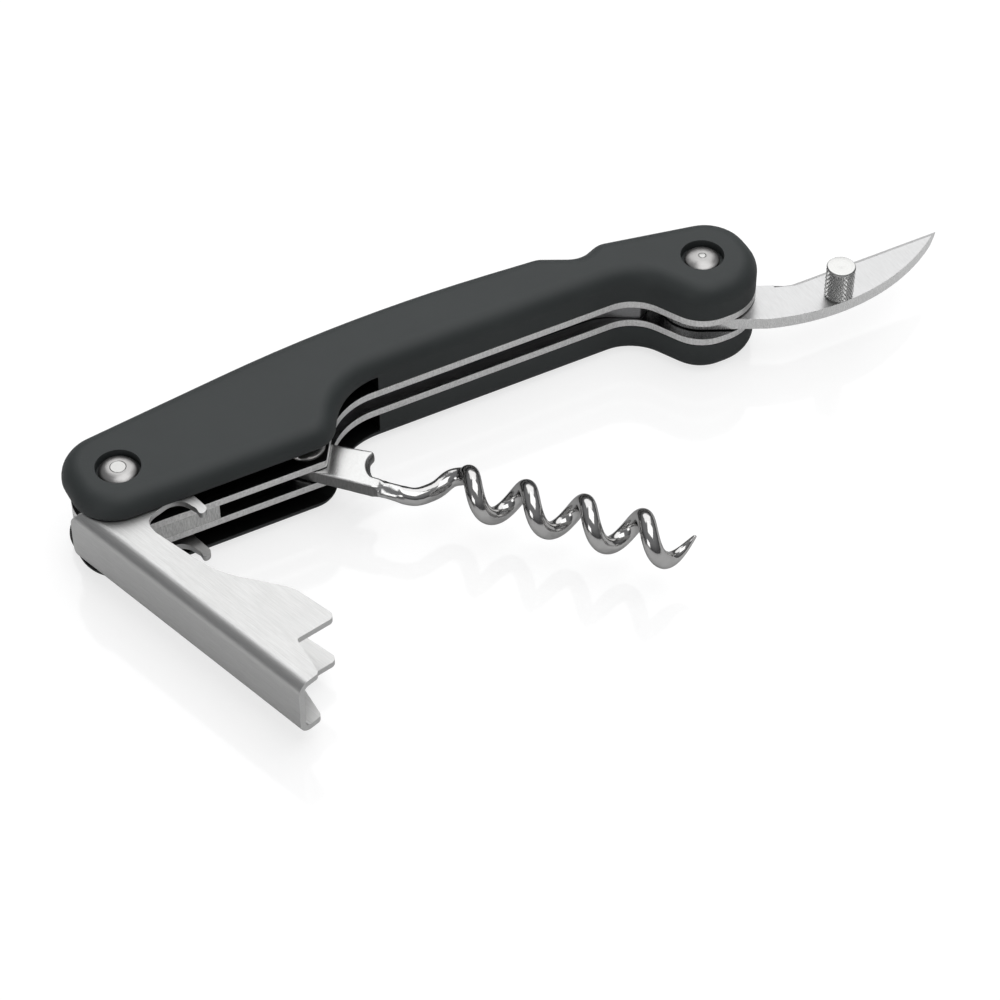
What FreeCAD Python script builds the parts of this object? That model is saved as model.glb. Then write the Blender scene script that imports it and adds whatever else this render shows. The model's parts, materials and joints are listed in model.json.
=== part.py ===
import FreeCAD, Part
import math
import os

from FreeCAD import Vector

os.makedirs("parts", exist_ok=True)

# Folding lever corkscrew, open: a boot lever on the left rivet, a worm on the rivet inside the
# left third, and a foil knife on the right rivet. Lengths are millimetres, angles degrees.
# Origin: on the flat outer face of the bottom scale, under the middle of the handle.
# +X runs from the lever's rivet to the knife's, +Y to the back edge, +Z out of the top scale.

# Handle
PIVOT_SPAN = 104.0          # lever rivet to knife rivet
PIVOT_Y = -8.0              # both end rivets lie this far in front of the origin
HANDLE_THICKNESS = 18.2     # over both scales
EDGE_ROUND = 3.2            # rounding of each scale's outer rim
WORM_AT = (29.8, -3.6)      # worm rivet from the lever rivet
CROWN_AT = (46.5, 15.65)    # highest part of the back edge from the lever rivet
CROWN_ROUND = 250.0
LEFT_DEPTH = 8.2            # handle's left end from the lever rivet
FRONT_DEPTH = 7.9           # front edge of the lever's half from the lever rivet
WAIST_Y = 2.3               # front edge of the waist from the line of the end rivets

# Steel stack between the scales
LINER = 1.35
LINER_GAP = 2.77
LINER_NOSE = 7.8            # liner's round end about the lever rivet
WASHER = 1.4
WASHER_RADIUS = 3.6
CHEEK_PLAY = 0.165          # washer to lever cheek
RECESS_PLAY = 0.2           # lever cheek to scale
RECESS_LENGTH = 45.6        # recess in each scale, from the lever rivet
DEEPER_BELOW = 0.9          # bottom scale's recess is this much deeper than the top one's
RECESS_WALL_Y = 7.4         # back wall of the recess, from the lever rivet
RECESS_OPEN_X = 2.5         # the wall stops this far left of the lever rivet

# Rivets and pins
RIVET_RADIUS = 1.5
RIVET_FIT = 0.02            # rivet in a piece that it clamps
PIVOT_PLAY = 0.05           # rivet in a piece that turns on it
LEVER_HEAD_RADIUS = 3.08
KNIFE_HEAD_RADIUS = 2.89
COUNTERBORE_RADIUS = 3.59
COUNTERBORE_DEPTH = 1.6
HEAD_RIM = 0.8              # straight rim of a rivet head above its seat
HEAD_RISE = 0.72            # dome of a rivet head above its rim
LEVER_HEAD_FLAT = 1.25      # flat, peened middle of a rivet head
KNIFE_HEAD_FLAT = 0.6
WORM_HEAD_RADIUS = 3.25
WORM_HEAD_RISE = 0.86
SPRING_PIN_RADIUS = 1.1

# Boot lever, in its own directions: u along the lever, n from the rivet to the web
LEVER_ANGLE = -72.0
SHEET = 1.1
WEB_AT = 9.4                # outer face of the web from the rivet
LEVER_LENGTH = 50.0
LEVER_TAIL = 1.05           # web's end behind the rivet
CHEEK_NOSE = 6.9            # cheek's round end about the rivet
BEND_OUTSIDE = 2.1
BEND_INSIDE = 0.9
WEB_END_ROUND = 3.0

# Worm, in its own directions: s along the axis, t square to it, towards the back
WORM_ANGLE = -47.0
WORM_AXIS_T = 1.4           # worm axis from the worm rivet
WIRE = 2.9
WORM_DIAMETER = 8.5
WORM_PITCH = 9.5
WORM_LENGTH = 63.0          # rivet to point
POINT_ANGLE = -2.0          # point's place round the axis, from the t direction
POINT_RADIUS = 0.3
TAPER_ANGLE = 140.0         # turn over which the wire narrows to its point
LEAD_ANGLE = 10.0           # the helix starts here
SECTION_STEP = 22.0         # turn between the points that the wire's centre line follows
JOIN_EVERY = 8              # of these points in each length that the coil is swept in
TANG_PLAY = 0.185           # tang to liner
TANG_NOSE = 3.6

SCALLOP_AT = Vector(13.6, 1.9, 0)
SCALLOP_RADIUS = 3.1        # thumb scallop at the tang's mid-thickness, wider at both faces

# Knife, from its rivet
BLADE_PLAY = 0.285          # blade to liner
TANG_ROUND = 7.06
TIP = (43.3, -5.0)
EDGE_HEEL = (13.4, -5.0)
PLUNGE = 3.4                # length over which the ground edge reaches its full width
BEVEL = 1.3
EDGE_THICKNESS = 0.3
STUD_AT = (19.8, -11.5)
STUD_RADIUS = 2.47
STUD_HEIGHT = 6.4
STUD_TAIL_RADIUS = 1.0
STUD_CHAMFER = 0.25

# Places that follow from the sizes above
MID_Z = HANDLE_THICKNESS / 2
LEVER_X = -PIVOT_SPAN / 2
KNIFE_X = PIVOT_SPAN / 2
WORM_X = LEVER_X + WORM_AT[0]
WORM_Y = PIVOT_Y + WORM_AT[1]
LINER_IN = LINER_GAP / 2
LINER_OUT = LINER_IN + LINER
TANG = LINER_GAP - 2 * TANG_PLAY
BLADE = LINER_GAP - 2 * BLADE_PLAY
CHEEK_IN = LINER_OUT + WASHER + CHEEK_PLAY
CHEEK_OUT = CHEEK_IN + SHEET
RECESS_Z = CHEEK_OUT + RECESS_PLAY
UP = Vector(0, 0, 1)
FAR = 400.0


def rounded_wire(corners):
    """A closed wire through corners (x, y, radius), each rounded by an arc that meets its sides."""
    starts = []
    ends = []
    arcs = []
    count = len(corners)
    for i in range(count):
        x, y, radius = corners[i]
        corner = Vector(x, y, 0)
        before = Vector(corners[i - 1][0], corners[i - 1][1], 0) - corner
        after = Vector(corners[(i + 1) % count][0], corners[(i + 1) % count][1], 0) - corner
        before.normalize()
        after.normalize()
        half_turn = (math.pi - before.getAngle(after)) / 2
        reach = radius * math.tan(half_turn)
        inward = before + after
        inward.normalize()
        start = corner + before * reach
        end = corner + after * reach
        starts.append(start)
        ends.append(end)
        if radius > 0:
            middle = corner + inward * (radius / math.cos(half_turn) - radius)
            arcs.append(Part.Arc(start, middle, end).toShape())
        else:
            arcs.append(None)
    edges = []
    for i in range(count):
        if arcs[i]:
            edges.append(arcs[i])
        following = starts[(i + 1) % count]
        if (following - ends[i]).Length > 1e-6:
            edges.append(Part.LineSegment(ends[i], following).toShape())
    return Part.Wire(edges)


def plate(wire, low, high):
    """A plate with the outline of a wire, between two heights."""
    face = Part.Face(wire)
    face.translate(Vector(0, 0, low))
    return face.extrude(Vector(0, 0, high - low))


def rod(x, y, radius, low, high):
    return Part.makeCylinder(radius, high - low, Vector(x, y, low), UP)


def block(x0, x1, y0, y1, z0, z1):
    return Part.makeBox(x1 - x0, y1 - y0, z1 - z0, Vector(x0, y0, z0))


def from_lever(dx, dy, radius):
    return (LEVER_X + dx, PIVOT_Y + dy, radius)


def from_worm(dx, dy, radius):
    return (WORM_X + dx, WORM_Y + dy, radius)


def from_knife(dx, dy, radius):
    return (KNIFE_X + dx, PIVOT_Y + dy, radius)


def mirrored(shape):
    """The same piece on the other side of the handle's middle plane."""
    return shape.mirror(Vector(0, 0, MID_Z), UP)


def domed_head(x, y, seat, radius, rim, rise, flat):
    """A turned rivet head that stands on its seat and faces +Z."""
    shoulder = Vector(radius, 0, rim)
    crown = Vector(flat, 0, rim + rise)
    middle = Vector(flat + (radius - flat) * 0.62, 0, rim + rise * 0.66)
    profile = [
        Part.LineSegment(Vector(0, 0, 0), Vector(radius, 0, 0)).toShape(),
        Part.LineSegment(Vector(radius, 0, 0), shoulder).toShape(),
        Part.Arc(shoulder, middle, crown).toShape(),
        Part.LineSegment(crown, Vector(0, 0, rim + rise)).toShape(),
        Part.LineSegment(Vector(0, 0, rim + rise), Vector(0, 0, 0)).toShape(),
    ]
    head = Part.Face(Part.Wire(profile)).revolve(Vector(0, 0, 0), UP, 360)
    head.translate(Vector(x, y, seat))
    return head


def handle_wire(bay_corner, bay_wall):
    """The handle's outline from the left front corner round the waist to the left back corner.

    The two corners given are those at the left side of the worm's bay."""
    return rounded_wire([
        from_lever(-LEFT_DEPTH, -FRONT_DEPTH, 7.0),
        bay_corner,
        bay_wall,
        from_knife(-11.3, WAIST_Y, 7.5),
        from_knife(-5.1, -8.9, 7.0),
        from_knife(9.0, -9.0, 8.5),
        from_knife(9.0, 7.45, 7.5),
        from_knife(-13.4, 12.0, 4.0),
        from_knife(-17.6, 10.2, 4.0),
        from_knife(-23.8, 13.4, 4.5),
        from_lever(CROWN_AT[0], CROWN_AT[1], CROWN_ROUND),
        from_lever(-LEFT_DEPTH, 8.7, 7.5),
    ])


# Scales: moulded shells with a recess for the lever's cheeks and a seat for each rivet head
def scale_wire():
    return handle_wire(from_worm(3.1, PIVOT_Y - FRONT_DEPTH - WORM_Y, 5.0),
                       (WORM_X + 9.2, PIVOT_Y + WAIST_Y - 0.1, 12.0))


def make_scale(recess_floor):
    """The bottom scale, its recess cut down to a height above its outer face."""
    inner = MID_Z - LINER_OUT
    scale = plate(scale_wire(), 0, inner)
    rim = [edge for edge in scale.Edges if abs(edge.BoundBox.ZMax) < 1e-6]
    scale = scale.makeFillet(EDGE_ROUND, rim)
    recess = block(LEVER_X - FAR, LEVER_X + RECESS_LENGTH, -FAR, PIVOT_Y + RECESS_WALL_Y,
                   recess_floor, inner + 1)
    open_end = block(LEVER_X - FAR, LEVER_X - RECESS_OPEN_X, -FAR, FAR, recess_floor, inner + 1)
    scale = scale.cut(recess.fuse(open_end))
    for x in (LEVER_X, KNIFE_X):
        scale = scale.cut(rod(x, PIVOT_Y, RIVET_RADIUS + RIVET_FIT, -1, HANDLE_THICKNESS))
        scale = scale.cut(rod(x, PIVOT_Y, COUNTERBORE_RADIUS, -1, COUNTERBORE_DEPTH))
    return scale


# Liners: two stamped steel plates that carry every rivet, with a sharp corner at the worm's bay
def liner_wire():
    return handle_wire(from_worm(1.6, -4.55, 0.7), (WORM_X + 8.2, PIVOT_Y + WAIST_Y - 0.2, 12.0))


def liner_blank(low, high):
    nose = rod(LEVER_X, PIVOT_Y, LINER_NOSE, low, high)
    rest = block(LEVER_X, FAR, -FAR, FAR, low, high)
    return plate(liner_wire(), low, high).common(nose.fuse(rest))


def make_bottom_liner():
    liner = liner_blank(MID_Z - LINER_OUT, MID_Z - LINER_IN)
    for x, y in ((LEVER_X, PIVOT_Y), (KNIFE_X, PIVOT_Y), (WORM_X, WORM_Y)):
        liner = liner.cut(rod(x, y, RIVET_RADIUS + RIVET_FIT, 0, HANDLE_THICKNESS))
    for x, y in spring_pin_places():
        liner = liner.cut(rod(x, y, SPRING_PIN_RADIUS + RIVET_FIT, 0, HANDLE_THICKNESS))
    return liner


# Spacer: keeps the liners apart at the lever's end, where nothing folds between them
SPACER_LENGTH = 13.0
SPACER_BACK = 4.0


def make_lever_end_spacer():
    spacer = liner_blank(MID_Z - LINER_IN, MID_Z + LINER_IN)
    spacer = spacer.common(block(LEVER_X - FAR, LEVER_X + SPACER_LENGTH, -FAR,
                                 PIVOT_Y + SPACER_BACK, 0, HANDLE_THICKNESS))
    return spacer.cut(rod(LEVER_X, PIVOT_Y, RIVET_RADIUS + RIVET_FIT, 0, HANDLE_THICKNESS))


# Spring: one strip between the folded worm and the folded knife, pinned in its middle,
# with an arm that bears on each tang
SPRING_PLAY = 0.1           # spring's face to each liner


def spring_pin_places():
    return [(WORM_X + 17.2, PIVOT_Y + 6.6), (WORM_X + 26.2, PIVOT_Y + 6.6)]


def make_spring():
    wire = rounded_wire([
        from_worm(0.9, 4.0, 0.5),
        (WORM_X + 14.5, PIVOT_Y + 4.9, 6.0),
        from_knife(-17.0, 4.6, 8.0),
        from_knife(-10.7, 1.1, 0.6),
        from_knife(-7.9, 2.4, 0.6),
        from_knife(-15.5, 6.3, 8.0),
        (WORM_X + 32.2, PIVOT_Y + 7.1, 4.0),
        (WORM_X + 29.2, PIVOT_Y + 8.6, 3.0),
        (WORM_X + 14.2, PIVOT_Y + 8.6, 3.0),
        (WORM_X + 10.2, PIVOT_Y + 7.1, 4.0),
        from_worm(0.1, 6.2, 0.6),
    ])
    low = MID_Z - LINER_IN + SPRING_PLAY
    spring = plate(wire, low, 2 * MID_Z - low)
    for x, y in spring_pin_places():
        spring = spring.cut(rod(x, y, SPRING_PIN_RADIUS + RIVET_FIT, 0, HANDLE_THICKNESS))
    return spring


def make_spring_pins():
    low = MID_Z - LINER_OUT
    return Part.makeCompound([
        rod(x, y, SPRING_PIN_RADIUS, low, 2 * MID_Z - low) for x, y in spring_pin_places()
    ])


# Rivets: a headed pin from below, and a domed collar over its peened end on top
def rivet_pin(x, head_radius, flat):
    foot = domed_head(x, PIVOT_Y, 0, head_radius, HEAD_RIM, HEAD_RISE, flat)
    foot = foot.mirror(Vector(0, 0, 0), UP)
    foot.translate(Vector(0, 0, COUNTERBORE_DEPTH))
    top = HANDLE_THICKNESS - COUNTERBORE_DEPTH + HEAD_RIM + HEAD_RISE
    neck = rod(x, PIVOT_Y, RIVET_RADIUS, COUNTERBORE_DEPTH - HEAD_RIM, top - HEAD_RIM)
    peened = rod(x, PIVOT_Y, flat - RIVET_FIT, top - HEAD_RIM - 0.5, top)
    return foot.fuse([neck, peened]).removeSplitter()


def rivet_collar(x, head_radius, flat):
    seat = HANDLE_THICKNESS - COUNTERBORE_DEPTH
    top = seat + HEAD_RIM + HEAD_RISE
    collar = domed_head(x, PIVOT_Y, seat, head_radius, HEAD_RIM, HEAD_RISE, flat)
    collar = collar.cut(rod(x, PIVOT_Y, RIVET_RADIUS + RIVET_FIT, seat - 1, top - HEAD_RIM + RIVET_FIT))
    return collar.cut(rod(x, PIVOT_Y, flat, seat - 1, top + 1))


def make_worm_rivet():
    upper = domed_head(WORM_X, WORM_Y, MID_Z + LINER_OUT, WORM_HEAD_RADIUS, 0.2,
                       WORM_HEAD_RISE - 0.2, 0.6)
    pin = rod(WORM_X, WORM_Y, RIVET_RADIUS, MID_Z - LINER_OUT, MID_Z + LINER_OUT)
    return pin.fuse([upper, mirrored(upper)]).removeSplitter()


def make_lever_washers():
    low = MID_Z + LINER_OUT
    washer = rod(LEVER_X, PIVOT_Y, WASHER_RADIUS, low, low + WASHER)
    washer = washer.cut(rod(LEVER_X, PIVOT_Y, RIVET_RADIUS + RIVET_FIT, 0, HANDLE_THICKNESS))
    return Part.makeCompound([washer, mirrored(washer)])


# Boot lever: one bent sheet, a channel whose two cheeks carry the step for the bottle's lip
# and a cap-lifting hook beside the rivet
def lever_wire():
    outline = [
        (-LEVER_TAIL, WEB_AT, 0),
        (LEVER_LENGTH, WEB_AT, 0),
        (LEVER_LENGTH, 5.2, 0.9),
        (LEVER_LENGTH - 7.1, 3.0, 0.5),
        (LEVER_LENGTH - 6.2, -4.3, 1.1),
        (35.0, -3.7, 7.0),
        (24.5, 2.2, 18.0),
        (11.8, 3.1, 1.5),
        (8.6, 2.6, 2.6),
        (8.5, -4.1, 2.6),
        (12.5, -4.6, 0.9),
        (14.0, -4.1, 0.5),
        (13.9, -5.9, 1.0),
        (0, -CHEEK_NOSE, 0),
        (-LEVER_TAIL, 0, 0),
    ]
    return rounded_wire([(u, -n, radius) for u, n, radius in outline])


def channel_section():
    """The U of the bent sheet, closed side at the web, drawn as corners (n, height)."""
    open_side = -20.0
    inner_web = WEB_AT - SHEET
    return rounded_wire([
        (open_side, -CHEEK_OUT, 0),
        (WEB_AT, -CHEEK_OUT, BEND_OUTSIDE),
        (WEB_AT, CHEEK_OUT, BEND_OUTSIDE),
        (open_side, CHEEK_OUT, 0),
        (open_side, CHEEK_IN, 0),
        (inner_web, CHEEK_IN, BEND_INSIDE),
        (inner_web, -CHEEK_IN, BEND_INSIDE),
        (open_side, -CHEEK_IN, 0),
    ])


def make_boot_lever():
    blank = plate(lever_wire(), -CHEEK_OUT - 1, CHEEK_OUT + 1)
    blank = blank.fuse(rod(0, 0, CHEEK_NOSE, -CHEEK_OUT - 1, CHEEK_OUT + 1))
    section = channel_section()
    section.rotate(Vector(0, 0, 0), Vector(1, 0, 0), 90)
    section.rotate(Vector(0, 0, 0), UP, -90)
    section.translate(Vector(-20, 0, 0))
    channel = Part.Face(section).extrude(Vector(LEVER_LENGTH + 40, 0, 0))
    lever = blank.common(channel)
    corner = block(-LEVER_TAIL - 1, WEB_END_ROUND - LEVER_TAIL, -WEB_AT - 1, -CHEEK_NOSE,
                   CHEEK_OUT - WEB_END_ROUND, CHEEK_OUT + 1)
    keep = Part.makeCylinder(WEB_END_ROUND, WEB_AT + 2,
                             Vector(WEB_END_ROUND - LEVER_TAIL, 1, CHEEK_OUT - WEB_END_ROUND),
                             Vector(0, -1, 0))
    corner = corner.cut(keep)
    lever = lever.cut([corner, corner.mirror(Vector(0, 0, 0), UP)])
    lever = lever.cut(rod(0, 0, RIVET_RADIUS + PIVOT_PLAY, -FAR, FAR))
    lever.rotate(Vector(0, 0, 0), UP, LEVER_ANGLE)
    lever.translate(Vector(LEVER_X, PIVOT_Y, MID_Z))
    return lever


# Worm: one forged rod, flattened into a tang at the rivet and wound right-handed to a point
def worm_station(angle):
    """A point of the wire's centre line: (s, t, z), from the worm rivet."""
    radius = (WORM_DIAMETER - WIRE) / 2
    whole_turns = 4 * 360
    s = WORM_LENGTH + (angle - POINT_ANGLE - whole_turns) / 360 * WORM_PITCH
    turn = math.radians(angle)
    return Vector(s, WORM_AXIS_T + radius * math.cos(turn), radius * math.sin(turn))


def make_wire():
    """The wire: squared where it leaves the tang, then the round helix, drawn to a point."""
    end_angle = POINT_ANGLE + 4 * 360
    steps = int(round((end_angle - LEAD_ANGLE) / SECTION_STEP))
    step = (end_angle - LEAD_ANGLE) / steps
    lead = [Vector(11.5, -2.4, 0), Vector(14.0, -2.4, 0), Vector(16.6, -2.4, -0.1),
            Vector(19.0, -1.9, -0.5), Vector(20.6, -0.2, -0.9), Vector(21.9, 2.0, -1.1),
            Vector(23.3, 3.9, -0.4)]
    helix = [worm_station(LEAD_ANGLE + step * i) for i in range(steps + 1)]
    curve = Part.BSplineCurve()
    curve.interpolate(lead + helix)
    start = curve.FirstParameter
    end = curve.LastParameter
    last_round = steps - int(TAPER_ANGLE / step)
    split = curve.parameter(helix[last_round])
    round_from = curve.parameter(lead[3])

    def ring(at, radius):
        return Part.Wire(Part.Circle(curve.value(at), curve.tangent(at)[0], radius).toShape())

    def drawn(first, first_ring, last, last_ring):
        shell = Part.BRepOffsetAPI.MakePipeShell(Part.Wire(curve.toShape(first, last)))
        shell.setFrenetMode(True)
        shell.add(first_ring)
        shell.add(last_ring)
        shell.build()
        shell.makeSolid()
        return shell.shape()

    square = rounded_wire([(-1.15, -TANG / 2, 0.4), (1.15, -TANG / 2, 0.4),
                           (1.15, TANG / 2, 0.4), (-1.15, TANG / 2, 0.4)])
    square.rotate(Vector(0, 0, 0), Vector(1, 1, 1), 120)
    square.translate(curve.value(start))
    neck = drawn(start, square, round_from, ring(round_from, WIRE / 2))
    joins = [curve.parameter(helix[i]) for i in range(JOIN_EVERY, last_round - 2, JOIN_EVERY)]
    coil = []
    for first, last in zip([round_from] + joins, joins + [split]):
        length = Part.Wire(curve.toShape(first, last))
        coil.append(length.makePipeShell([ring(first, WIRE / 2)], True, True))
    taper = drawn(split, ring(split, WIRE / 2), end, ring(end, POINT_RADIUS))
    return neck.fuse(coil + [taper])


def make_worm():
    tang_outline = rounded_wire([
        (0, -TANG_NOSE, 0),
        (12.6, -TANG_NOSE, 0.3),
        (14.2, -2.9, 0.3),
        (14.2, -1.5, 0.3),
        (11.9, -1.3, 3.2),
        (10.2, 1.8, 1.2),
        (10.6, 3.9, 0.7),
        (4.0, 3.3, 3.0),
        (0, 3.3, 0),
    ])
    tang = plate(tang_outline, -TANG / 2, TANG / 2)
    tang = tang.fuse(rod(0, 0, TANG_NOSE, -TANG / 2, TANG / 2))
    scallop = Part.makeCone(SCALLOP_RADIUS, SCALLOP_RADIUS + 0.9, TANG / 2, SCALLOP_AT, UP)
    tang = tang.cut([scallop, scallop.mirror(Vector(0, 0, 0), UP)])
    worm = tang.fuse(make_wire()).removeSplitter()
    worm = worm.cut(rod(0, 0, RIVET_RADIUS + PIVOT_PLAY, -5, 5))
    worm.rotate(Vector(0, 0, 0), UP, WORM_ANGLE)
    worm.translate(Vector(WORM_X, WORM_Y, MID_Z))
    return worm


# Knife: a short blade with a straight edge, ground on both sides, and a curved, blunt back
def bevel_section(x, depth, width):
    """What grinding takes off above the edge at x: down to a depth, over a width of the blade."""
    y = TIP[1]
    top = BLADE / 2 + 1
    points = [Vector(x, y + 0.01, depth), Vector(x, y - width, BLADE / 2),
              Vector(x, y - width, top), Vector(x, y + 1, top), Vector(x, y + 1, depth)]
    return Part.makePolygon(points + [points[0]])


def make_knife_blade():
    half = BLADE / 2
    slope = math.radians(-26.6)
    along = Vector(math.cos(slope), math.sin(slope), 0)
    heel = Vector(math.sin(slope) * TANG_ROUND, -math.cos(slope) * TANG_ROUND, 0)
    shoulder = heel + along * 10.9
    tip = Vector(TIP[0], TIP[1], 0)
    edge_heel = Vector(EDGE_HEEL[0], EDGE_HEEL[1], 0)
    notch = Vector(11.7, -4.65, 0)
    inside = notch - along * 8.0
    edges = [
        Part.LineSegment(heel, shoulder).toShape(),
        Part.Arc(shoulder, Vector(24.5, -13.1, 0), tip).toShape(),
        Part.LineSegment(tip, edge_heel).toShape(),
        Part.LineSegment(edge_heel, notch).toShape(),
        Part.LineSegment(notch, inside).toShape(),
        Part.LineSegment(inside, heel).toShape(),
    ]
    blade = plate(Part.Wire(edges), -half, half)
    blade = blade.fuse(rod(0, 0, TANG_ROUND, -half, half)).removeSplitter()
    full = EDGE_HEEL[0] + PLUNGE - 2.0
    plunge = Part.makeLoft([bevel_section(full - PLUNGE, half - 0.05, 0.1),
                            bevel_section(full, EDGE_THICKNESS / 2, BEVEL)], True, True)
    wedge = Part.Face(bevel_section(full, EDGE_THICKNESS / 2, BEVEL))
    wedge = plunge.fuse(wedge.extrude(Vector(TIP[0], 0, 0)))
    blade = blade.cut([wedge, wedge.mirror(Vector(0, 0, 0), UP)])
    blade = blade.cut(rod(0, 0, RIVET_RADIUS + PIVOT_PLAY, -5, 5))
    blade = blade.cut(rod(STUD_AT[0], STUD_AT[1], STUD_TAIL_RADIUS + RIVET_FIT, -5, 5))
    blade.translate(Vector(KNIFE_X, PIVOT_Y, MID_Z))
    return blade


def make_thumb_stud():
    low = BLADE / 2
    stud = rod(STUD_AT[0], STUD_AT[1], STUD_RADIUS, low, low + STUD_HEIGHT)
    rims = [edge for edge in stud.Edges if edge.Closed]
    stud = stud.makeChamfer(STUD_CHAMFER, rims)
    stud = stud.fuse(rod(STUD_AT[0], STUD_AT[1], STUD_TAIL_RADIUS, -low, low + 1))
    stud.translate(Vector(KNIFE_X, PIVOT_Y, MID_Z))
    return stud.removeSplitter()


bottom_liner = make_bottom_liner()
nodes = {
    "bottom_scale": make_scale(MID_Z - RECESS_Z - DEEPER_BELOW),
    "top_scale": mirrored(make_scale(MID_Z - RECESS_Z)),
    "bottom_liner": bottom_liner,
    "top_liner": mirrored(bottom_liner),
    "lever_end_spacer": make_lever_end_spacer(),
    "centre_spring": make_spring(),
    "spring_pins": make_spring_pins(),
    "lever_rivet": rivet_pin(LEVER_X, LEVER_HEAD_RADIUS, LEVER_HEAD_FLAT),
    "lever_rivet_collar": rivet_collar(LEVER_X, LEVER_HEAD_RADIUS, LEVER_HEAD_FLAT),
    "knife_rivet": rivet_pin(KNIFE_X, KNIFE_HEAD_RADIUS, KNIFE_HEAD_FLAT),
    "knife_rivet_collar": rivet_collar(KNIFE_X, KNIFE_HEAD_RADIUS, KNIFE_HEAD_FLAT),
    "worm_rivet": make_worm_rivet(),
    "lever_washers": make_lever_washers(),
    "boot_lever": make_boot_lever(),
    "worm": make_worm(),
    "knife_blade": make_knife_blade(),
    "thumb_stud": make_thumb_stud(),
}
for name, shape in nodes.items():
    shape.exportStep("parts/" + name + ".step")
    print(name, len(shape.Solids), shape.isValid(), round(shape.Volume, 1))
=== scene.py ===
import json
import math

import bmesh
import bpy
from mathutils import Matrix, Vector


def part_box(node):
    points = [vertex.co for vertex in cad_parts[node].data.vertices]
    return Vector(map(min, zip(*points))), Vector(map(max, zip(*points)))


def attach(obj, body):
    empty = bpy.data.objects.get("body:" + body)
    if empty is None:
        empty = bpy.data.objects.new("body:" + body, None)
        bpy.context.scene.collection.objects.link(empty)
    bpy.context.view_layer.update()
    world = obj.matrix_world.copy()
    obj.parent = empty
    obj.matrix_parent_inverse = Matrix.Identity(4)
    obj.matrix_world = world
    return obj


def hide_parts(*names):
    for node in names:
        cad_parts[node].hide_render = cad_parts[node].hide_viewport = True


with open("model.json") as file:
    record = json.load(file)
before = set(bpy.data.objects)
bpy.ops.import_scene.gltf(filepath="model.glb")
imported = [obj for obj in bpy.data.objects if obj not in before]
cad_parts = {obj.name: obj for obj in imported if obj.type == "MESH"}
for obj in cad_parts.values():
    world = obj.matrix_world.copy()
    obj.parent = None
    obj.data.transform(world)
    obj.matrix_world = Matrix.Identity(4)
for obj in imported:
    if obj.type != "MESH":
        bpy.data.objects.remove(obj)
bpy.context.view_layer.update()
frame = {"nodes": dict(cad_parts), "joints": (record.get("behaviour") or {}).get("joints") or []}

scene = bpy.context.scene


# ---- Table, daylight panels and camera -------------------------------------------------------
# A white lacquered table top under two large cloth-covered panels, in a room left half dark so
# that the steel has something to mirror. Everything here is outside the corkscrew itself.
joints = {joint["name"]: joint for joint in frame["joints"]}
lever_pivot = Vector(joints["lever_fold"]["pos_m"])
worm_pivot = Vector(joints["worm_fold"]["pos_m"])
knife_pivot = Vector(joints["knife_fold"]["pos_m"])
table_half = 3.0
camera_distance = 0.500
camera_bearing = math.radians(27.97)
camera_height = math.radians(46.24)
camera_roll = math.radians(0.106)
view_centre = Vector((0.00064, -0.03405, lever_pivot.z))


def facing(location, target, roll=0.0):
    """The placing of a lamp or camera at one point that looks at another."""
    turn = (target - location).to_track_quat("-Z", "Y").to_matrix().to_4x4()
    return Matrix.Translation(location) @ turn @ Matrix.Rotation(roll, 4, "Z")


def panel(name, direction, distance, width, height, power):
    lamp = bpy.data.lights.new(name, "AREA")
    lamp.shape = "RECTANGLE"
    lamp.size = width
    lamp.size_y = height
    lamp.energy = power
    holder = bpy.data.objects.new(name, lamp)
    scene.collection.objects.link(holder)
    holder.matrix_world = facing(view_centre + Vector(direction).normalized() * distance, view_centre)


lens = bpy.data.cameras.new("camera")
lens.lens = 115.39
lens.sensor_width = 36.0
lens.clip_start = 0.01
lens.clip_end = 20.0
camera = bpy.data.objects.new("camera", lens)
scene.collection.objects.link(camera)
backward = Vector((-math.sin(camera_bearing) * math.cos(camera_height),
                   -math.cos(camera_bearing) * math.cos(camera_height),
                   math.sin(camera_height)))
camera.matrix_world = facing(view_centre + backward * camera_distance, view_centre, camera_roll)
scene.camera = camera

panel("back panel", (0.34, 0.62, 0.74), 0.95, 1.00, 0.75, 3.4)
panel("top panel", (0.15, -0.15, 1.0), 1.00, 0.90, 0.90, 5.2)
panel("side panel", (-1.0, -0.45, 0.35), 1.10, 0.50, 0.40, 1.3)

# The room is dim near the horizon and light overhead.
room = bpy.data.worlds.new("room")
room.use_nodes = True
room_light = room.node_tree.nodes["Background"]
room_light.inputs["Strength"].default_value = 0.24
room_place = room.node_tree.nodes.new("ShaderNodeTexCoord")
room_apart = room.node_tree.nodes.new("ShaderNodeSeparateXYZ")
room_height = room.node_tree.nodes.new("ShaderNodeValToRGB")
room_height.color_ramp.elements[0].color = (0.22, 0.22, 0.23, 1)
room_height.color_ramp.elements[1].position = 0.55
room_height.color_ramp.elements[1].color = (1.05, 1.06, 1.08, 1)
room.node_tree.links.new(room_place.outputs["Generated"], room_apart.inputs["Vector"])
room.node_tree.links.new(room_apart.outputs["Z"], room_height.inputs["Fac"])
room.node_tree.links.new(room_height.outputs["Color"], room_light.inputs["Color"])
scene.world = room
scene.view_settings.view_transform = "Standard"

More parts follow.
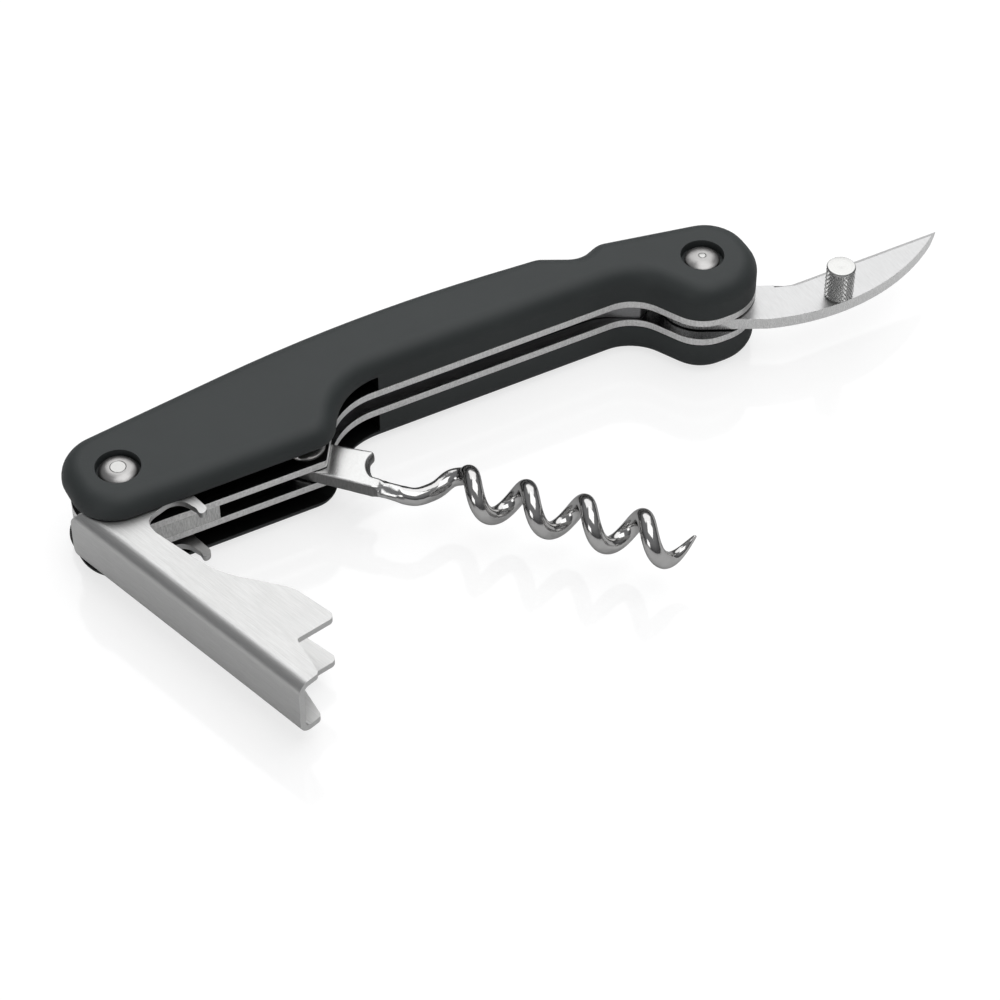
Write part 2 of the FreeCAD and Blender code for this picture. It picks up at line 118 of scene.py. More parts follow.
table_mesh = bpy.data.meshes.new("table_top")
table_corners = [(-table_half, -table_half, 0), (table_half, -table_half, 0),
                 (table_half, table_half, 0), (-table_half, table_half, 0)]
table_mesh.from_pydata(table_corners, [], [(0, 1, 2, 3)])
table = bpy.data.objects.new("table_top", table_mesh)
scene.collection.objects.link(table)
lacquer = bpy.data.materials.new("white lacquer")
lacquer.use_nodes = True
lacquer_face = lacquer.node_tree.nodes["Principled BSDF"]
lacquer_face.inputs["Base Color"].default_value = (0.30, 0.30, 0.30, 1)
lacquer_face.inputs["Roughness"].default_value = 0.08
lacquer_face.inputs["Specular IOR Level"].default_value = 0.36
lacquer_face.inputs["Emission Color"].default_value = (1, 1, 1, 1)
lacquer_face.inputs["Emission Strength"].default_value = 0.74

# White to the eye, and darker in what the steel mirrors and in the light that it throws back.
dim_side = lacquer.node_tree.nodes.new("ShaderNodeBsdfDiffuse")
seen = lacquer.node_tree.nodes.new("ShaderNodeLightPath")
table_tone = lacquer.node_tree.nodes.new("ShaderNodeMix")
table_tone.data_type = "RGBA"
table_tone.inputs["A"].default_value = (0.36, 0.36, 0.36, 1)
table_tone.inputs["B"].default_value = (0.72, 0.72, 0.72, 1)
lacquer.node_tree.links.new(seen.outputs["Is Glossy Ray"], table_tone.inputs["Factor"])
lacquer.node_tree.links.new(table_tone.outputs["Result"], dim_side.inputs["Color"])
chooser = lacquer.node_tree.nodes.new("ShaderNodeMixShader")
lacquer_out = lacquer.node_tree.nodes["Material Output"]
lacquer.node_tree.links.new(seen.outputs["Is Camera Ray"], chooser.inputs["Fac"])
lacquer.node_tree.links.new(dim_side.outputs["BSDF"], chooser.inputs[1])
lacquer.node_tree.links.new(lacquer_face.outputs["BSDF"], chooser.inputs[2])
lacquer.node_tree.links.new(chooser.outputs["Shader"], lacquer_out.inputs["Surface"])
table_mesh.materials.append(lacquer)


# ---- Scales ----------------------------------------------------------------------------------
# The two outer halves of the handle, moulded in glass-filled nylon under a thin soft-touch skin.
# The skin is dead matt, very finely pebbled, and a little polished where a palm rubs it.
class Nodes:
    """Short ways to place and join the nodes of one material or node group."""

    def __init__(self, tree):
        self.tree = tree

    def add(self, kind, **settings):
        node = self.tree.nodes.new(kind)
        for key, value in settings.items():
            setattr(node, key, value)
        return node

    def join(self, source, target):
        self.tree.links.new(source, target)

    def noise(self, vector, scale, detail, roughness):
        node = self.add("ShaderNodeTexNoise")
        node.inputs["Scale"].default_value = scale
        node.inputs["Detail"].default_value = detail
        node.inputs["Roughness"].default_value = roughness
        self.join(vector, node.inputs["Vector"])
        return node.outputs["Fac"]

    def ranged(self, value, low, high, from_low=0.0, from_high=1.0):
        node = self.add("ShaderNodeMapRange")
        node.inputs["From Min"].default_value = from_low
        node.inputs["From Max"].default_value = from_high
        node.inputs["To Min"].default_value = low
        node.inputs["To Max"].default_value = high
        self.join(value, node.inputs["Value"])
        return node.outputs["Result"]

    def blend(self, factor, first, second):
        node = self.add("ShaderNodeMix", data_type="RGBA")
        self.join(factor, node.inputs["Factor"])
        for socket, colour in ((node.inputs["A"], first), (node.inputs["B"], second)):
            if isinstance(colour, tuple):
                socket.default_value = colour
            else:
                self.join(colour, socket)
        return node.outputs["Result"]

    def bump(self, height, strength, distance):
        node = self.add("ShaderNodeBump")
        node.inputs["Strength"].default_value = strength
        node.inputs["Distance"].default_value = distance
        self.join(height, node.inputs["Height"])
        return node.outputs["Normal"]


def start_material(name, metallic, roughness):
    """A new material: its nodes, its shader, and where the piece's own coordinates come out."""
    material = bpy.data.materials.new(name)
    material.use_nodes = True
    nodes = Nodes(material.node_tree)
    shader = material.node_tree.nodes["Principled BSDF"]
    shader.inputs["Metallic"].default_value = metallic
    shader.inputs["Roughness"].default_value = roughness
    place = nodes.add("ShaderNodeTexCoord").outputs["Object"]
    return material, nodes, shader, place


def finished_copy(node_name, piece_name, edge_round, steps=2):
    """A clean copy of a CAD piece: welded, flat faces whole, its edges broken as by tumbling."""
    source = frame["nodes"][node_name]
    mesh = source.data.copy()
    shape = bmesh.new()
    shape.from_mesh(mesh)
    bmesh.ops.remove_doubles(shape, verts=shape.verts, dist=1e-6)
    bmesh.ops.dissolve_limit(shape, angle_limit=math.radians(0.3), use_dissolve_boundaries=False,
                             verts=shape.verts, edges=shape.edges)
    shape.to_mesh(mesh)
    shape.free()
    mesh.materials.clear()
    rough = bpy.data.objects.new(piece_name, mesh)
    scene.collection.objects.link(rough)
    mesh.polygons.foreach_set("use_smooth", [True] * len(mesh.polygons))
    bevel = rough.modifiers.new("broken edges", "BEVEL")
    bevel.width = edge_round
    bevel.segments = steps
    bevel.limit_method = "ANGLE"
    bevel.angle_limit = math.radians(30)
    bevel.use_clamp_overlap = True
    even = rough.modifiers.new("flat faces stay flat", "WEIGHTED_NORMAL")
    even.weight = 100
    baked = bpy.data.meshes.new_from_object(rough.evaluated_get(bpy.context.evaluated_depsgraph_get()))
    bpy.data.objects.remove(rough)
    baked.name = piece_name
    piece = bpy.data.objects.new(piece_name, baked)
    scene.collection.objects.link(piece)
    return piece


def fit_piece(piece, material, body, slot, *nodes):
    piece.data.materials.append(material)
    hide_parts(*nodes)
    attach(piece, body)


def soft_skin():
    material, nodes, shader, place = start_material("soft-touch skin", 0.0, 0.55)
    pebble = nodes.noise(place, 5200.0, 3.0, 0.6)
    cloud = nodes.noise(place, 55.0, 3.0, 0.55)
    rubbed = nodes.ranged(cloud, 0.0, 1.0, 0.42, 0.68)
    colour = nodes.blend(rubbed, (0.0300, 0.0350, 0.0354, 1), (0.0360, 0.0415, 0.0418, 1))
    nodes.join(colour, shader.inputs["Base Color"])
    nodes.join(nodes.ranged(cloud, 0.52, 0.62), shader.inputs["Roughness"])
    nodes.join(nodes.bump(pebble, 0.55, 0.00003), shader.inputs["Normal"])
    shader.inputs["Specular IOR Level"].default_value = 0.42
    return material


# Painted shade: the faces inside the handle (its mating faces, the recess and its walls, and the broken
# inner edges) get near-black nylon, standing for the deep shade in the pocket and the gap beside the liners.
def shade_nylon_material():
    material, nodes, shader, place = start_material("nylon in painted shade", 0.0, 0.4)
    flow = nodes.noise(place, 400.0, 3.0, 0.6)
    nodes.join(nodes.blend(flow, (0.0016, 0.0018, 0.0018, 1), (0.0036, 0.0039, 0.0039, 1)),
               shader.inputs["Base Color"])
    nodes.join(nodes.ranged(flow, 0.34, 0.5), shader.inputs["Roughness"])
    nodes.join(nodes.bump(flow, 0.2, 0.00003), shader.inputs["Normal"])
    shader.inputs["Specular IOR Level"].default_value = 0.3
    return material


def other_material_where(piece, material, chosen):
    """Gives a second material to the faces for which chosen(centre, normal) is true."""
    piece.data.materials.append(material)
    for face in piece.data.polygons:
        if chosen(face.center, face.normal):
            face.material_index = 1


recess_back = lever_pivot.y + 0.0074
recess_end = lever_pivot.x + 0.0456
recess_open = lever_pivot.x - 0.0025
near_wall = 0.0001


def inner_faces_in_shade(centre, normal):
    toward_middle = normal.z * (lever_pivot.z - centre.z) > 0.0002
    back_wall = abs(centre.y - recess_back) < near_wall and abs(normal.y) > 0.9
    end_walls = abs(normal.x) > 0.9 and min(abs(centre.x - recess_end),
                                            abs(centre.x - recess_open)) < near_wall
    return toward_middle or back_wall or end_walls


skin = soft_skin()
painted_shade = shade_nylon_material()
for side in ("top", "bottom"):
    scale = finished_copy(side + "_scale", side + "_scale_moulding", 0.0004)
    fit_piece(scale, skin, "handle", "soft_grip", side + "_scale")
    # Painted shade: the inner faces get the near-black nylon.
    other_material_where(scale, painted_shade, inner_faces_in_shade)


# ---- Liners, spacer and spring ---------------------------------------------------------------
# Two plates stamped from stainless sheet with a spacer block and a flat spring between them,
# tumbled after stamping, so the sheared edges keep a fine cross grain and the corners are dulled.
def make_grain_group():
    """Marks drawn along X: a shade from dark to light, and a height for the bump."""
    group = bpy.data.node_groups.new("drawn marks", "ShaderNodeTree")
    group.interface.new_socket("Place", in_out="INPUT", socket_type="NodeSocketVector")
    for name, value in (("Along", 60.0), ("Across", 6000.0)):
        socket = group.interface.new_socket(name, in_out="INPUT", socket_type="NodeSocketFloat")
        socket.default_value = value
    group.interface.new_socket("Shade", in_out="OUTPUT", socket_type="NodeSocketFloat")
    group.interface.new_socket("Height", in_out="OUTPUT", socket_type="NodeSocketFloat")
    nodes = Nodes(group)
    entry = nodes.add("NodeGroupInput")
    leave = nodes.add("NodeGroupOutput")
    stretch = nodes.add("ShaderNodeCombineXYZ")
    nodes.join(entry.outputs["Along"], stretch.inputs["X"])
    nodes.join(entry.outputs["Across"], stretch.inputs["Y"])
    nodes.join(entry.outputs["Across"], stretch.inputs["Z"])
    scaled = nodes.add("ShaderNodeVectorMath", operation="MULTIPLY")
    nodes.join(entry.outputs["Place"], scaled.inputs[0])
    nodes.join(stretch.outputs["Vector"], scaled.inputs[1])
    fine = nodes.noise(scaled.outputs["Vector"], 1.0, 4.0, 0.65)
    coarse = nodes.noise(scaled.outputs["Vector"], 0.33, 2.0, 0.5)
    mixed = nodes.add("ShaderNodeMath", operation="MULTIPLY_ADD")
    nodes.join(fine, mixed.inputs[0])
    mixed.inputs[1].default_value = 0.8
    share = nodes.add("ShaderNodeMath", operation="MULTIPLY")
    nodes.join(coarse, share.inputs[0])
    share.inputs[1].default_value = 0.2
    nodes.join(share.outputs["Value"], mixed.inputs[2])
    nodes.join(nodes.ranged(mixed.outputs["Value"], 0.0, 1.0, 0.30, 0.70), leave.inputs["Shade"])
    nodes.join(mixed.outputs["Value"], leave.inputs["Height"])
    return group


drawn_marks = make_grain_group()


def marks(nodes, place, turn, along, across):
    """Drawn marks placed in a material, their direction turned about the vertical, or stood up."""
    turned = nodes.add("ShaderNodeMapping")
    turned.inputs["Rotation"].default_value = turn
    nodes.join(place, turned.inputs["Vector"])
    group = nodes.add("ShaderNodeGroup", node_tree=drawn_marks)
    group.inputs["Along"].default_value = along
    group.inputs["Across"].default_value = across
    nodes.join(turned.outputs["Vector"], group.inputs["Place"])
    return group.outputs["Shade"], group.outputs["Height"]


def stamped_steel():
    material, nodes, shader, place = start_material("stamped steel", 1.0, 0.4)
    shade, height = marks(nodes, place, (0.0, math.radians(90), 0.0), 500.0, 9000.0)
    spots = nodes.noise(place, 2600.0, 3.0, 0.7)
    tone = nodes.blend(shade, (0.66, 0.655, 0.65, 1), (0.92, 0.915, 0.91, 1))
    pitted = nodes.blend(nodes.ranged(spots, 0.0, 1.0, 0.36, 0.52), (0.64, 0.635, 0.63, 1), tone)
    nodes.join(pitted, shader.inputs["Base Color"])
    nodes.join(nodes.ranged(spots, 0.48, 0.34), shader.inputs["Roughness"])
    nodes.join(nodes.bump(height, 0.4, 0.00002), shader.inputs["Normal"])
    return material


def sheared_steel(name, dark, light, roughness):
    """The cut edge of a forged or blanked piece: fine upright tears over a dull ground."""
    material, nodes, shader, place = start_material(name, 1.0, roughness)
    shade, height = marks(nodes, place, (0.0, math.radians(90), 0.0), 900.0, 7000.0)
    nodes.join(nodes.blend(shade, dark, light), shader.inputs["Base Color"])
    nodes.join(nodes.ranged(shade, roughness + 0.05, roughness - 0.05), shader.inputs["Roughness"])
    nodes.join(nodes.bump(height, 0.3, 0.00002), shader.inputs["Normal"])
    return material


# The liners' flat faces: their smoother finish is the sheet's own, but their colour, far darker than the
# same plate's edges, is painted shade for the faces seen inside the handle.
def rolled_steel_painted_shade():
    material, nodes, shader, place = start_material("rolled steel in painted shade", 1.0, 0.2)
    shade, height = marks(nodes, place, (0.0, 0.0, 0.0), 200.0, 4000.0)
    nodes.join(nodes.blend(shade, (0.26, 0.26, 0.26, 1), (0.36, 0.36, 0.36, 1)),
               shader.inputs["Base Color"])
    nodes.join(nodes.ranged(shade, 0.16, 0.26), shader.inputs["Roughness"])
    nodes.join(nodes.bump(height, 0.15, 0.00001), shader.inputs["Normal"])
    return material


plate_steel = stamped_steel()
sheet_face_painted_shade = rolled_steel_painted_shade()
for name in ("top_liner", "bottom_liner"):
    plate = finished_copy(name, name + "_plate", 0.0002)
    fit_piece(plate, plate_steel, "handle", "liner_steel", name)
    # Painted shade: the flat faces get the dark rolled steel.
    other_material_where(plate, sheet_face_painted_shade, lambda centre, normal: abs(normal.z) > 0.9)
block_steel = sheared_steel("sawn steel", (0.36, 0.36, 0.355, 1), (0.80, 0.80, 0.79, 1), 0.32)
fit_piece(finished_copy("lever_end_spacer", "spacer_block", 0.00025), block_steel, "handle",
          "liner_steel", "lever_end_spacer")


def tempered_steel():
    material, nodes, shader, place = start_material("tempered steel", 1.0, 0.4)
    shade, height = marks(nodes, place, (0.0, 0.0, 0.0), 300.0, 7000.0)
    nodes.join(nodes.blend(shade, (0.20, 0.20, 0.20, 1), (0.30, 0.30, 0.31, 1)),
               shader.inputs["Base Color"])
    nodes.join(nodes.ranged(shade, 0.34, 0.46), shader.inputs["Roughness"])
    nodes.join(nodes.bump(height, 0.3, 0.00002), shader.inputs["Normal"])
    return material


fit_piece(finished_copy("centre_spring", "centre_spring_strip", 0.00015), tempered_steel(), "handle",
          "spring_steel", "centre_spring")
frame["nodes"]["spring_pins"].data.materials.clear()
frame["nodes"]["spring_pins"].data.materials.append(plate_steel)


# ---- Rivets and washers ----------------------------------------------------------------------
# Each end rivet is a turned steel pin with a domed head below, and above it a domed collar over
# which the pin's end is peened flat. The worm's rivet has two low heads. The washers are brass.
def from_axis(nodes, place, centre):
    """The distance from an upright axis through the centre."""
    centred = nodes.add("ShaderNodeMapping")
    centred.inputs["Location"].default_value = (-centre.x, -centre.y, 0)
    nodes.join(place, centred.inputs["Vector"])
    flat = nodes.add("ShaderNodeVectorMath", operation="MULTIPLY")
    flat.inputs[1].default_value = (1, 1, 0)
    nodes.join(centred.outputs["Vector"], flat.inputs[0])
    radius = nodes.add("ShaderNodeVectorMath", operation="LENGTH")
    nodes.join(flat.outputs["Vector"], radius.inputs[0])
    return radius.outputs["Value"]


def turned_steel(name, centre, dark, light, roughness):
    """Steel turned about one upright axis, with fine rings."""
    material, nodes, shader, place = start_material(name, 1.0, roughness)
    ring_place = nodes.add("ShaderNodeCombineXYZ")
    nodes.join(from_axis(nodes, place, centre), ring_place.inputs["X"])
    rings = nodes.noise(ring_place.outputs["Vector"], 9000.0, 2.0, 0.6)
    grit = nodes.noise(place, 4200.0, 3.0, 0.6)
    nodes.join(nodes.blend(rings, dark, light), shader.inputs["Base Color"])
    nodes.join(nodes.ranged(grit, roughness - 0.07, roughness + 0.09), shader.inputs["Roughness"])
    both = nodes.add("ShaderNodeMath", operation="ADD")
    nodes.join(rings, both.inputs[0])
    nodes.join(grit, both.inputs[1])
    nodes.join(nodes.bump(both.outputs["Value"], 0.25, 0.000012), shader.inputs["Normal"])
    return material


rivet_places = {"lever_rivet": lever_pivot, "knife_rivet": knife_pivot}
for name, centre in rivet_places.items():
    # Pin and collar are the same turned steel; the pin's lighter copy, against the collar's darker one, is a
    # painted highlight on the pin's peened flat end.
    dull = turned_steel(name + " collar steel", centre, (0.30, 0.295, 0.29, 1), (0.44, 0.435, 0.43, 1), 0.34)
    pin_steel_painted_highlight = turned_steel(name + " pin steel with painted highlight", centre, (0.42, 0.42, 0.41, 1), (0.56, 0.56, 0.55, 1), 0.3)
    fit_piece(finished_copy(name, name + "_pin", 0.00008), pin_steel_painted_highlight, "handle", "rivet_steel", name)
    fit_piece(finished_copy(name + "_collar", name + "_domed_collar", 0.00008), dull, "handle",
              "rivet_steel", name + "_collar")
low_head = turned_steel("worm rivet steel", worm_pivot, (0.45, 0.44, 0.43, 1), (0.60, 0.59, 0.58, 1), 0.3)
fit_piece(finished_copy("worm_rivet", "worm_rivet_pin", 0.0001), low_head, "handle", "rivet_steel",
          "worm_rivet")


def plain_brass():
    material, nodes, shader, place = start_material("washer brass", 1.0, 0.35)
    stain = nodes.noise(place, 900.0, 4.0, 0.6)
    nodes.join(nodes.blend(stain, (0.55, 0.42, 0.22, 1), (0.74, 0.60, 0.34, 1)),
               shader.inputs["Base Color"])
    nodes.join(nodes.ranged(stain, 0.28, 0.45), shader.inputs["Roughness"])
    nodes.join(nodes.bump(stain, 0.2, 0.00002), shader.inputs["Normal"])
    return material


fit_piece(finished_copy("lever_washers", "lever_washer_pair", 0.0001), plain_brass(), "handle",
          "washer_brass", "lever_washers")


# ---- Boot lever ------------------------------------------------------------------------------
# One stainless blank, brushed along its length before it is bent into a channel. The free ends
# of its cheeks are the step for a bottle's lip, and the hooks beside the rivet lift caps.
lever_turn = math.radians(-72.0)


def brushed_steel():
    material, nodes, shader, place = start_material("brushed steel", 1.0, 0.3)
    shade, height = marks(nodes, place, (0.0, 0.0, -lever_turn), 330.0, 9000.0)
    cloud = nodes.noise(place, 120.0, 2.0, 0.5)
    nodes.join(nodes.blend(shade, (0.50, 0.50, 0.495, 1), (0.62, 0.62, 0.615, 1)),
               shader.inputs["Base Color"])
    both = nodes.add("ShaderNodeMath", operation="MULTIPLY")
    nodes.join(shade, both.inputs[0])
    nodes.join(cloud, both.inputs[1])
    nodes.join(nodes.ranged(both.outputs["Value"], 0.44, 0.32), shader.inputs["Roughness"])
    nodes.join(nodes.bump(height, 0.5, 0.00002), shader.inputs["Normal"])
    return material


fit_piece(finished_copy("boot_lever", "boot_lever_channel", 0.0003, steps=3), brushed_steel(), "lever",
          "lever_steel", "boot_lever")


# ---- Worm ------------------------------------------------------------------------------------
# A forged stainless rod, hammered flat at the rivet, wound right-handed over a mandrel, ground
# to a point and polished.
worm_turn = math.radians(-47.0)
tang_end = 0.0125
neck_end = 0.0175
forging_grain = 0.00014


def forged_steel():
    """Satin on the tang, running over into a mirror polish along the neck and the coil."""
    material, nodes, shader, place = start_material("forged steel", 1.0, 0.12)
    centred = nodes.add("ShaderNodeVectorMath", operation="SUBTRACT")
    nodes.join(place, centred.inputs[0])
    centred.inputs[1].default_value = (worm_pivot.x, worm_pivot.y, 0)
    turned = nodes.add("ShaderNodeMapping")
    turned.inputs["Rotation"].default_value = (0, 0, -worm_turn)
    nodes.join(centred.outputs["Vector"], turned.inputs["Vector"])
    apart = nodes.add("ShaderNodeSeparateXYZ")
    nodes.join(turned.outputs["Vector"], apart.inputs["Vector"])
    polish = nodes.ranged(apart.outputs["X"], 0.0, 1.0, tang_end, neck_end)
    haze = nodes.noise(place, 700.0, 3.0, 0.6)
    grit = nodes.noise(place, 5200.0, 3.0, 0.6)
    tang_tone = nodes.blend(grit, (0.50, 0.50, 0.495, 1), (0.64, 0.64, 0.635, 1))
    coil_tone = nodes.blend(haze, (0.46, 0.455, 0.45, 1), (0.58, 0.575, 0.57, 1))
    nodes.join(nodes.blend(polish, tang_tone, coil_tone), shader.inputs["Base Color"])
    nodes.join(nodes.ranged(polish, 0.26, 0.13), shader.inputs["Roughness"])
    shader.inputs["Specular Tint"].default_value = (0.55, 0.55, 0.55, 1)
    bump = nodes.add("ShaderNodeBump")
    bump.inputs["Distance"].default_value = 0.00002
    nodes.join(nodes.ranged(polish, 0.3, 0.05), bump.inputs["Strength"])
    nodes.join(grit, bump.inputs["Height"])
    nodes.join(bump.outputs["Normal"], shader.inputs["Normal"])
    return material


def forged_copy(node_name, piece_name):
    """A copy of a CAD piece with its surface redrawn evenly and softened, as by forging."""
    mesh = frame["nodes"][node_name].data.copy()
    shape = bmesh.new()
    shape.from_mesh(mesh)
    bmesh.ops.remove_doubles(shape, verts=shape.verts, dist=1e-6)
    shape.to_mesh(mesh)
    shape.free()
    mesh.materials.clear()
    rough = bpy.data.objects.new(piece_name, mesh)
    scene.collection.objects.link(rough)
    skin_over = rough.modifiers.new("even surface", "REMESH")
    skin_over.mode = "VOXEL"
    skin_over.voxel_size = forging_grain
    skin_over.use_smooth_shade = True
    soften = rough.modifiers.new("softened", "SMOOTH")
    soften.factor = 0.5
    soften.iterations = 20
    baked = bpy.data.meshes.new_from_object(rough.evaluated_get(bpy.context.evaluated_depsgraph_get()))
    bpy.data.objects.remove(rough)
    baked.name = piece_name
    piece = bpy.data.objects.new(piece_name, baked)
    scene.collection.objects.link(piece)
    return piece


def tang_side(centre, normal):
    along = (centre.x - worm_pivot.x) * math.cos(worm_turn) + (centre.y - worm_pivot.y) * math.sin(worm_turn)
    return along < tang_end + 0.001 and abs(normal.z) < 0.6


forging = forged_copy("worm", "worm_forging")
fit_piece(forging, forged_steel(), "worm", "worm_steel", "worm")
other_material_where(forging, sheared_steel("sheared tang", (0.15, 0.15, 0.15, 1),
                                            (0.24, 0.24, 0.235, 1), 0.32), tang_side)


# ---- Knife and thumb stud --------------------------------------------------------------------
# A blade blanked from sheet, its straight edge ground on both sides, satin finished across its
# width. The stud is turned with a knurled side and a plain end, and riveted through the blade.
def satin_steel():
    material, nodes, shader, place = start_material("satin steel", 1.0, 0.28)
    shade, height = marks(nodes, place, (0.0, 0.0, math.radians(88)), 600.0, 9000.0)
    nodes.join(nodes.blend(shade, (0.47, 0.47, 0.47, 1), (0.55, 0.55, 0.55, 1)),
               shader.inputs["Base Color"])
    nodes.join(nodes.ranged(shade, 0.36, 0.28), shader.inputs["Roughness"])
    nodes.join(nodes.bump(height, 0.2, 0.000012), shader.inputs["Normal"])
    return material


blade = finished_copy("knife_blade", "foil_blade", 0.00022)
fit_piece(blade, satin_steel(), "knife", "blade_steel", "knife_blade")
other_material_where(blade, sheared_steel("ground blade edge", (0.66, 0.66, 0.655, 1),
                                          (0.84, 0.84, 0.835, 1), 0.28),
                     lambda centre, normal: abs(normal.z) < 0.96)
stud_low, stud_high = (Vector(corner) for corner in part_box("thumb_stud"))
stud_centre = (stud_low + stud_high) / 2
stud_radius = (stud_high.x - stud_low.x) / 2
stud_height = 0.0064
stud_seat = stud_high.z - stud_height
knurl_depth = 0.00028
knurl_tooth_height = 0.00090
knurl_tooth_count = 26
tail_radius = 0.0009
rim_height = 0.0004         # the plain end above the knurl
hair = 0.00002              # keeps faces that touch apart


def turned_body(profile, centre, steps, name):
    """A solid of revolution about an upright axis, from (radius, height) points."""
    shape = bmesh.new()
    rings = []
    for radius, height in profile:
        rings.append([shape.verts.new((centre.x + radius * math.cos(2 * math.pi * i / steps),
                                       centre.y + radius * math.sin(2 * math.pi * i / steps), height))
                      for i in range(steps)])
    for lower, upper in zip(rings, rings[1:]):
        for i in range(steps):
            following = (i + 1) % steps
            shape.faces.new((lower[i], lower[following], upper[following], upper[i]))
    shape.faces.new(list(reversed(rings[0])))
    shape.faces.new(rings[-1])
    mesh = bpy.data.meshes.new(name)
    shape.to_mesh(mesh)
    shape.free()
    mesh.polygons.foreach_set("use_smooth", [True] * len(mesh.polygons))
    mesh.set_sharp_from_angle(angle=math.radians(32))
    return mesh


def knurl_tooth():
    """One pyramid of the knurl, pointing along X and standing on the stud's core."""
    half_width = math.pi * stud_radius / knurl_tooth_count
    half_height = knurl_tooth_height / 2
    root = stud_radius - knurl_depth - hair
    corners = [(root, -half_width, 0), (root, 0, -half_height), (root, half_width, 0),
               (root, 0, half_height), (stud_radius - 0.00001, 0, 0)]
    mesh = bpy.data.meshes.new("knurl tooth")
    mesh.from_pydata(corners, [], [(0, 1, 4), (1, 2, 4), (2, 3, 4), (3, 0, 4), (3, 2, 1, 0)])
    return mesh


def knurl_group():
    """Rows of teeth round the stud, every second row turned by half a tooth."""
    group = bpy.data.node_groups.new("diamond knurl", "GeometryNodeTree")
    group.interface.new_socket("Tooth", in_out="INPUT", socket_type="NodeSocketGeometry")
    for name, kind in (("Round", "NodeSocketInt"), ("Rows", "NodeSocketInt"),
                       ("Row step", "NodeSocketFloat"), ("Steel", "NodeSocketMaterial")):
        group.interface.new_socket(name, in_out="INPUT", socket_type=kind)
    group.interface.new_socket("Knurl", in_out="OUTPUT", socket_type="NodeSocketGeometry")
    nodes = Nodes(group)
    entry = nodes.add("NodeGroupInput")
    leave = nodes.add("NodeGroupOutput")

    def worked_out(operation, first, second):
        node = nodes.add("ShaderNodeMath", operation=operation)
        for socket, value in zip(node.inputs, (first, second)):
            if isinstance(value, (int, float)):
                socket.default_value = value
            else:
                nodes.join(value, socket)
        return node.outputs["Value"]

    total = worked_out("MULTIPLY", entry.outputs["Round"], entry.outputs["Rows"])
    line = nodes.add("GeometryNodePoints")
    nodes.join(total, line.inputs["Count"])
    index = nodes.add("GeometryNodeInputIndex").outputs["Index"]
    row = worked_out("FLOOR", worked_out("DIVIDE", index, entry.outputs["Round"]), 0)
    column = worked_out("SUBTRACT", index, worked_out("MULTIPLY", row, entry.outputs["Round"]))
    shifted = worked_out("ADD", column, worked_out("MULTIPLY", worked_out("MODULO", row, 2), 0.5))
    turn = worked_out("MULTIPLY", worked_out("DIVIDE", shifted, entry.outputs["Round"]), 2 * math.pi)
    place = nodes.add("ShaderNodeCombineXYZ")
    nodes.join(worked_out("MULTIPLY", row, entry.outputs["Row step"]), place.inputs["Z"])
    move = nodes.add("GeometryNodeSetPosition")
    nodes.join(line.outputs["Points"], move.inputs["Geometry"])
    nodes.join(place.outputs["Vector"], move.inputs["Position"])
    angles = nodes.add("ShaderNodeCombineXYZ")
    nodes.join(turn, angles.inputs["Z"])
    copies = nodes.add("GeometryNodeInstanceOnPoints")
    nodes.join(move.outputs["Geometry"], copies.inputs["Points"])
    nodes.join(entry.outputs["Tooth"], copies.inputs["Instance"])
    nodes.join(angles.outputs["Vector"], copies.inputs["Rotation"])
    solid = nodes.add("GeometryNodeRealizeInstances")
    nodes.join(copies.outputs["Instances"], solid.inputs["Geometry"])
    finish = nodes.add("GeometryNodeSetMaterial")
    nodes.join(solid.outputs["Geometry"], finish.inputs["Geometry"])
    nodes.join(entry.outputs["Steel"], finish.inputs["Material"])
    nodes.join(finish.outputs["Geometry"], leave.inputs["Knurl"])
    return group


core = stud_radius - knurl_depth
seat = stud_seat + hair
top = stud_high.z
stud_profile = [(tail_radius, stud_low.z), (tail_radius, seat), (core - 0.0002, seat), (core, seat + 0.0002),
                (core, top - rim_height), (stud_radius - 3 * hair, top - 0.00034),
                (stud_radius - 2 * hair, top - 0.00022), (stud_radius - 0.00022, top - hair),
                (stud_radius - 0.0003, top), (0.0004, top), (0.00005, top - 3 * hair)]
stud_steel = turned_steel("stud steel", stud_centre, (0.46, 0.46, 0.45, 1), (0.66, 0.66, 0.65, 1), 0.24)


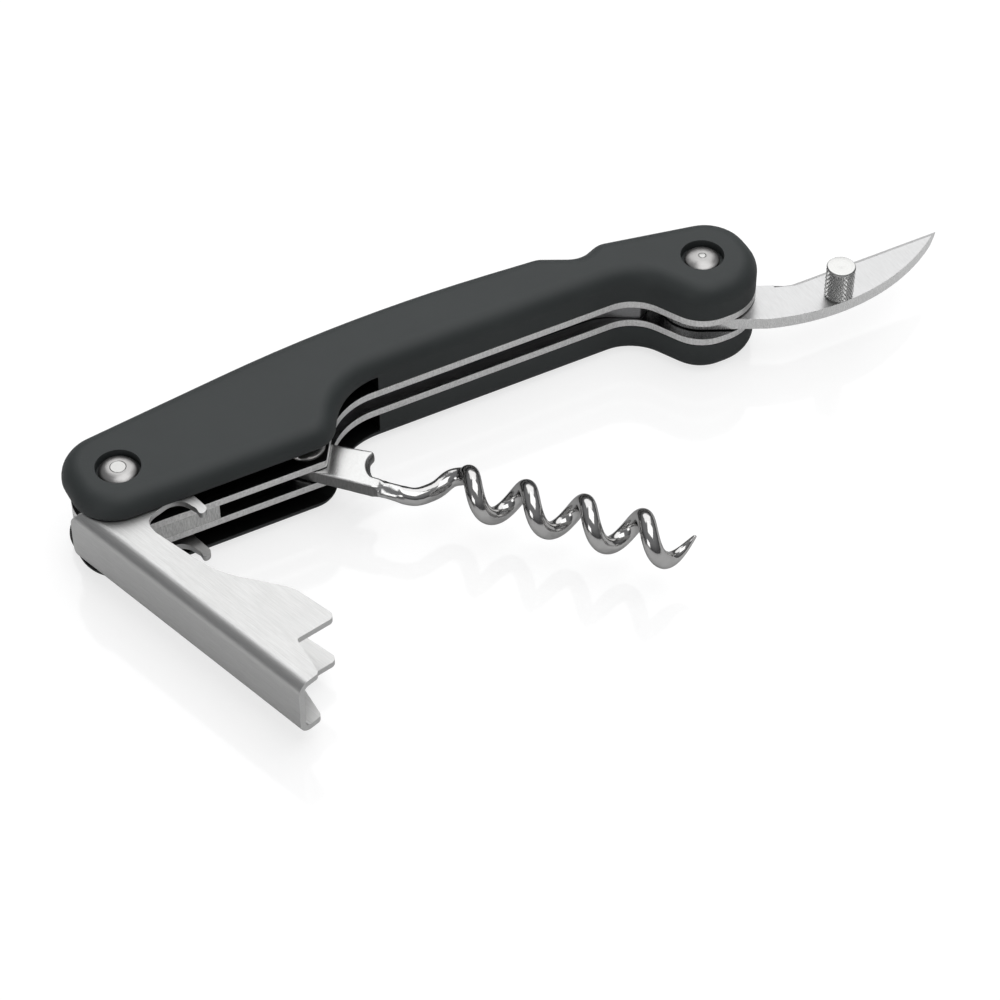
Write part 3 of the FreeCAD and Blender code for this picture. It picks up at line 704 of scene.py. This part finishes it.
def knurled_steel():
    """A painted highlight on the crests, far lighter than the stud's steel, and painted shade in the
    grooves.
    """
    material, nodes, shader, place = start_material("knurled steel", 1.0, 0.25)
    crest_light_groove_shade = nodes.ranged(from_axis(nodes, place, stud_centre), 0.0, 1.0, core - 0.00006, core + 0.00012)
    grit = nodes.noise(place, 4200.0, 3.0, 0.6)
    tone = nodes.blend(grit, (0.70, 0.70, 0.69, 1), (0.90, 0.90, 0.89, 1))
    # Painted light: the crests are lighter than the stud's own steel, and the grooves are near-black.
    nodes.join(nodes.blend(crest_light_groove_shade, (0.24, 0.24, 0.24, 1), tone), shader.inputs["Base Color"])
    nodes.join(nodes.ranged(crest_light_groove_shade, 0.5, 0.2), shader.inputs["Roughness"])
    nodes.join(nodes.bump(grit, 0.2, 0.00001), shader.inputs["Normal"])
    return material


body_mesh = turned_body(stud_profile, stud_centre, 96, "thumb_stud_core")
body_piece = bpy.data.objects.new("thumb_stud_core", body_mesh)
scene.collection.objects.link(body_piece)
fit_piece(body_piece, stud_steel, "knife", "stud_steel", "thumb_stud")
knurl_steel = knurled_steel()
other_material_where(body_piece, knurl_steel,
                     lambda centre, normal: abs(normal.z) < 0.5 and centre.z < top - rim_height)

knurl = bpy.data.objects.new("thumb_stud_knurl", knurl_tooth())
scene.collection.objects.link(knurl)
rows = int((top - rim_height - stud_seat - knurl_tooth_height) / (knurl_tooth_height / 2)) + 1
pattern = knurl.modifiers.new("knurl", "NODES")
pattern.node_group = knurl_group()
knurl_values = {"Round": knurl_tooth_count, "Rows": rows, "Row step": knurl_tooth_height / 2,
                "Steel": knurl_steel}
for socket in pattern.node_group.interface.items_tree:
    if socket.in_out == "INPUT" and socket.name in knurl_values:
        pattern[socket.identifier] = knurl_values[socket.name]
knurl.update_tag()
bpy.context.view_layer.update()
knurled = bpy.data.meshes.new_from_object(knurl.evaluated_get(bpy.context.evaluated_depsgraph_get()))
knurl.modifiers.clear()
knurl.data = knurled
knurled.transform(Matrix.Translation((stud_centre.x, stud_centre.y,
                                      stud_seat + 0.0001 + knurl_tooth_height / 2)))
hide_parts("thumb_stud")
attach(knurl, "knife")
